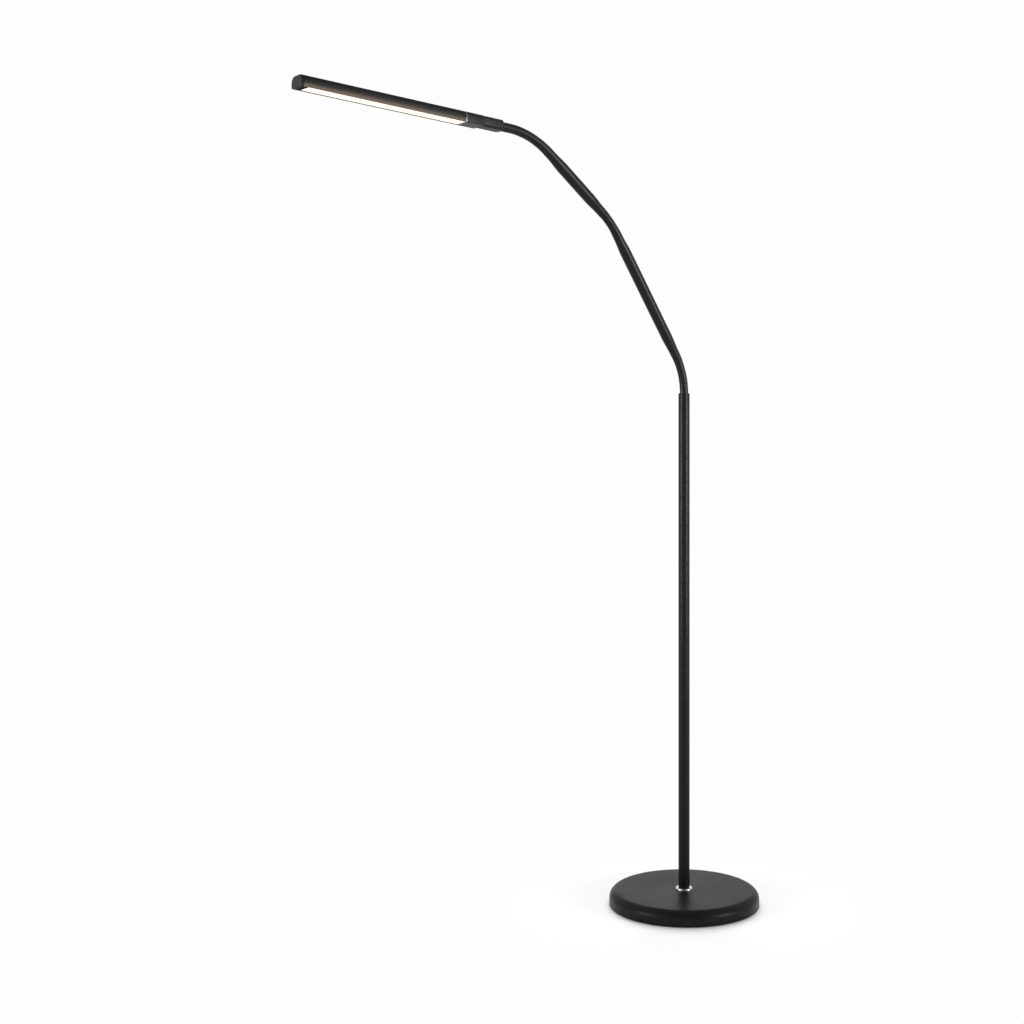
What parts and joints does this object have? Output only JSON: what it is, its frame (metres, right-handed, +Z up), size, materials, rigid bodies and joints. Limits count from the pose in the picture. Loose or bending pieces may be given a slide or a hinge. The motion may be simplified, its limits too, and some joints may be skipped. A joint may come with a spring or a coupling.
{
  "type": "gooseneck reading floor lamp",
  "caption": "Free-standing reading floor lamp: round weighted base, straight pole, two rigid arm tubes on flexible necks, and a slim twisting LED bar head.",
  "frame": {"origin": "centre of the base's underside, on the floor", "axes": "+Z up along the pole; the arm lies in the XZ plane and reaches along -X; +Y is the lamp's side"},
  "size_m": [0.8794, 0.254, 1.2599],
  "materials": {
    "base_paint": "satin black powder coat",
    "pole_paint": "satin black powder coat",
    "arm_paint": "satin black powder coat",
    "chrome_trim": "polished chrome plate",
    "iron_weight": "as cast, primed",
    "zinc_steel": "zinc plated",
    "foam_pad": "closed cell foam rubber",
    "black_rubber": "moulded rubber",
    "sleeve_rubber": "smooth satin rubber",
    "lead_jacket": "extruded jacket",
    "head_plastic": "fine matt moulding",
    "button_plastic": "smooth moulding",
    "cap_plastic": "fine matt moulding",
    "black_anodised": "satin black anodised",
    "bright_trim": "bright cut edge",
    "opal_diffuser": "opal, lit from behind",
    "board_white": "white solder mask",
    "led_phosphor": "phosphor window",
    "board_green": "solder mask",
    "inner_plastic": "moulding"
  },
  "bodies": {
    "base": {"base_shell": "base_paint", "base_weight": "iron_weight", "base_plate": "zinc_steel", "base_plate_screws": "zinc_steel", "base_pad": "foam_pad", "base_stud": "zinc_steel", "stud_washer": "zinc_steel", "stud_nut": "zinc_steel", "check_ring": "chrome_trim", "cord_grommet": "black_rubber", "lead_connector": "inner_plastic", "pole_tube": "pole_paint", "pole_foot_bush": "zinc_steel", "pole_top_bush": "zinc_steel", "neck_lock_nut": "zinc_steel", "pole_lead": "lead_jacket", "lower_neck_root_ferrule": "zinc_steel"},
    "lower_neck_link_1": {"lower_neck_link_1": "zinc_steel"},
    "lower_neck_link_2": {"lower_neck_link_2": "zinc_steel", "lower_neck_sleeve": "sleeve_rubber", "lower_neck_lead": "lead_jacket"},
    "lower_arm": {"lower_arm_tube": "arm_paint", "lower_arm_root_ferrule": "zinc_steel", "lower_arm_tip_ferrule": "zinc_steel", "lower_arm_lead": "lead_jacket"},
    "middle_neck_link_1": {"middle_neck_link_1": "zinc_steel"},
    "middle_neck_link_2": {"middle_neck_link_2": "zinc_steel", "middle_neck_sleeve": "sleeve_rubber", "middle_neck_lead": "lead_jacket"},
    "upper_arm": {"upper_arm_tube": "arm_paint", "upper_arm_root_ferrule": "zinc_steel", "upper_arm_tip_ferrule": "zinc_steel", "upper_arm_lead": "lead_jacket"},
    "upper_neck_link_1": {"upper_neck_link_1": "zinc_steel"},
    "upper_neck_link_2": {"upper_neck_link_2": "zinc_steel", "upper_neck_sleeve": "sleeve_rubber", "upper_neck_lead": "lead_jacket"},
    "head_socket": {"neck_socket": "head_plastic", "socket_grub_screw": "zinc_steel", "head_ferrule": "zinc_steel"},
    "switch": {"switch_button": "button_plastic"},
    "head": {"swivel_pin": "zinc_steel", "swivel_nut": "zinc_steel", "swivel_washer": "inner_plastic", "root_block": "head_plastic", "root_cover": "head_plastic", "driver_board": "board_green", "tact_switch": "inner_plastic", "trim_plate": "bright_trim", "head_housing": "black_anodised", "housing_screws": "zinc_steel", "diffuser": "opal_diffuser", "led_board": "board_white", "leds": "led_phosphor", "end_cap": "cap_plastic", "head_lead": "lead_jacket"}
  },
  "joints": [
    {"name": "lower_neck_pitch_1", "type": "hinge", "parent": "base", "child": "lower_neck_link_1", "pos_m": [0, 0, 0.8779], "axis": [0, 1, 0], "range_deg": [-18, 18], "deforming": ["lower_neck_sleeve", "lower_neck_lead"]},
    {"name": "lower_neck_turn", "type": "hinge", "parent": "lower_neck_link_1", "child": "lower_neck_link_2", "pos_m": [-0.00485, 0, 0.9004], "axis": [0.9497, 0, 0.3132], "range_deg": [-30, 30]},
    {"name": "lower_neck_pitch_2", "type": "hinge", "parent": "lower_neck_link_2", "child": "lower_arm", "pos_m": [-0.01434, 0, 0.92138], "axis": [0, 1, 0], "range_deg": [-18, 18]},
    {"name": "middle_neck_pitch_1", "type": "hinge", "parent": "lower_arm", "child": "middle_neck_link_1", "pos_m": [-0.16395, 0, 1.12356], "axis": [0, 1, 0], "range_deg": [-18, 18], "deforming": ["middle_neck_sleeve", "middle_neck_lead"]},
    {"name": "middle_neck_turn", "type": "hinge", "parent": "middle_neck_link_1", "child": "middle_neck_link_2", "pos_m": [-0.17381, 0, 1.13418], "axis": [0.6937, 0, 0.7202], "range_deg": [-30, 30]},
    {"name": "middle_neck_pitch_2", "type": "hinge", "parent": "middle_neck_link_2", "child": "upper_arm", "pos_m": [-0.1848, 0, 1.14364], "axis": [0, 1, 0], "range_deg": [-18, 18]},
    {"name": "upper_neck_pitch_1", "type": "hinge", "parent": "upper_arm", "child": "upper_neck_link_1", "pos_m": [-0.31695, 0, 1.23396], "axis": [0, 1, 0], "range_deg": [-18, 18], "deforming": ["upper_neck_sleeve", "upper_neck_lead"]},
    {"name": "upper_neck_turn", "type": "hinge", "parent": "upper_neck_link_1", "child": "upper_neck_link_2", "pos_m": [-0.34318, 0, 1.24504], "axis": [0.2953, 0, 0.9554], "range_deg": [-30, 30]},
    {"name": "upper_neck_pitch_2", "type": "hinge", "parent": "upper_neck_link_2", "child": "head_socket", "pos_m": [-0.37108, 0, 1.25069], "axis": [0, 1, 0], "range_deg": [-18, 18]},
    {"name": "head_twist", "type": "hinge", "parent": "head_socket", "child": "head", "pos_m": [-0.44143, 0, 1.25069], "axis": [-1, 0, 0], "range_deg": [-90, 90]},
    {"name": "switch_press", "type": "slide", "parent": "head", "child": "switch", "axis": [0, 0, -1], "range_m": [0, 0.0006], "stiffness_N_per_m": 500, "springref_m": -0.0005}
  ],
  "couplings": [
    {"joint": "lower_neck_pitch_2", "follows": "lower_neck_pitch_1", "ratio": 1},
    {"joint": "middle_neck_pitch_2", "follows": "middle_neck_pitch_1", "ratio": 1},
    {"joint": "upper_neck_pitch_2", "follows": "upper_neck_pitch_1", "ratio": 1}
  ]
}
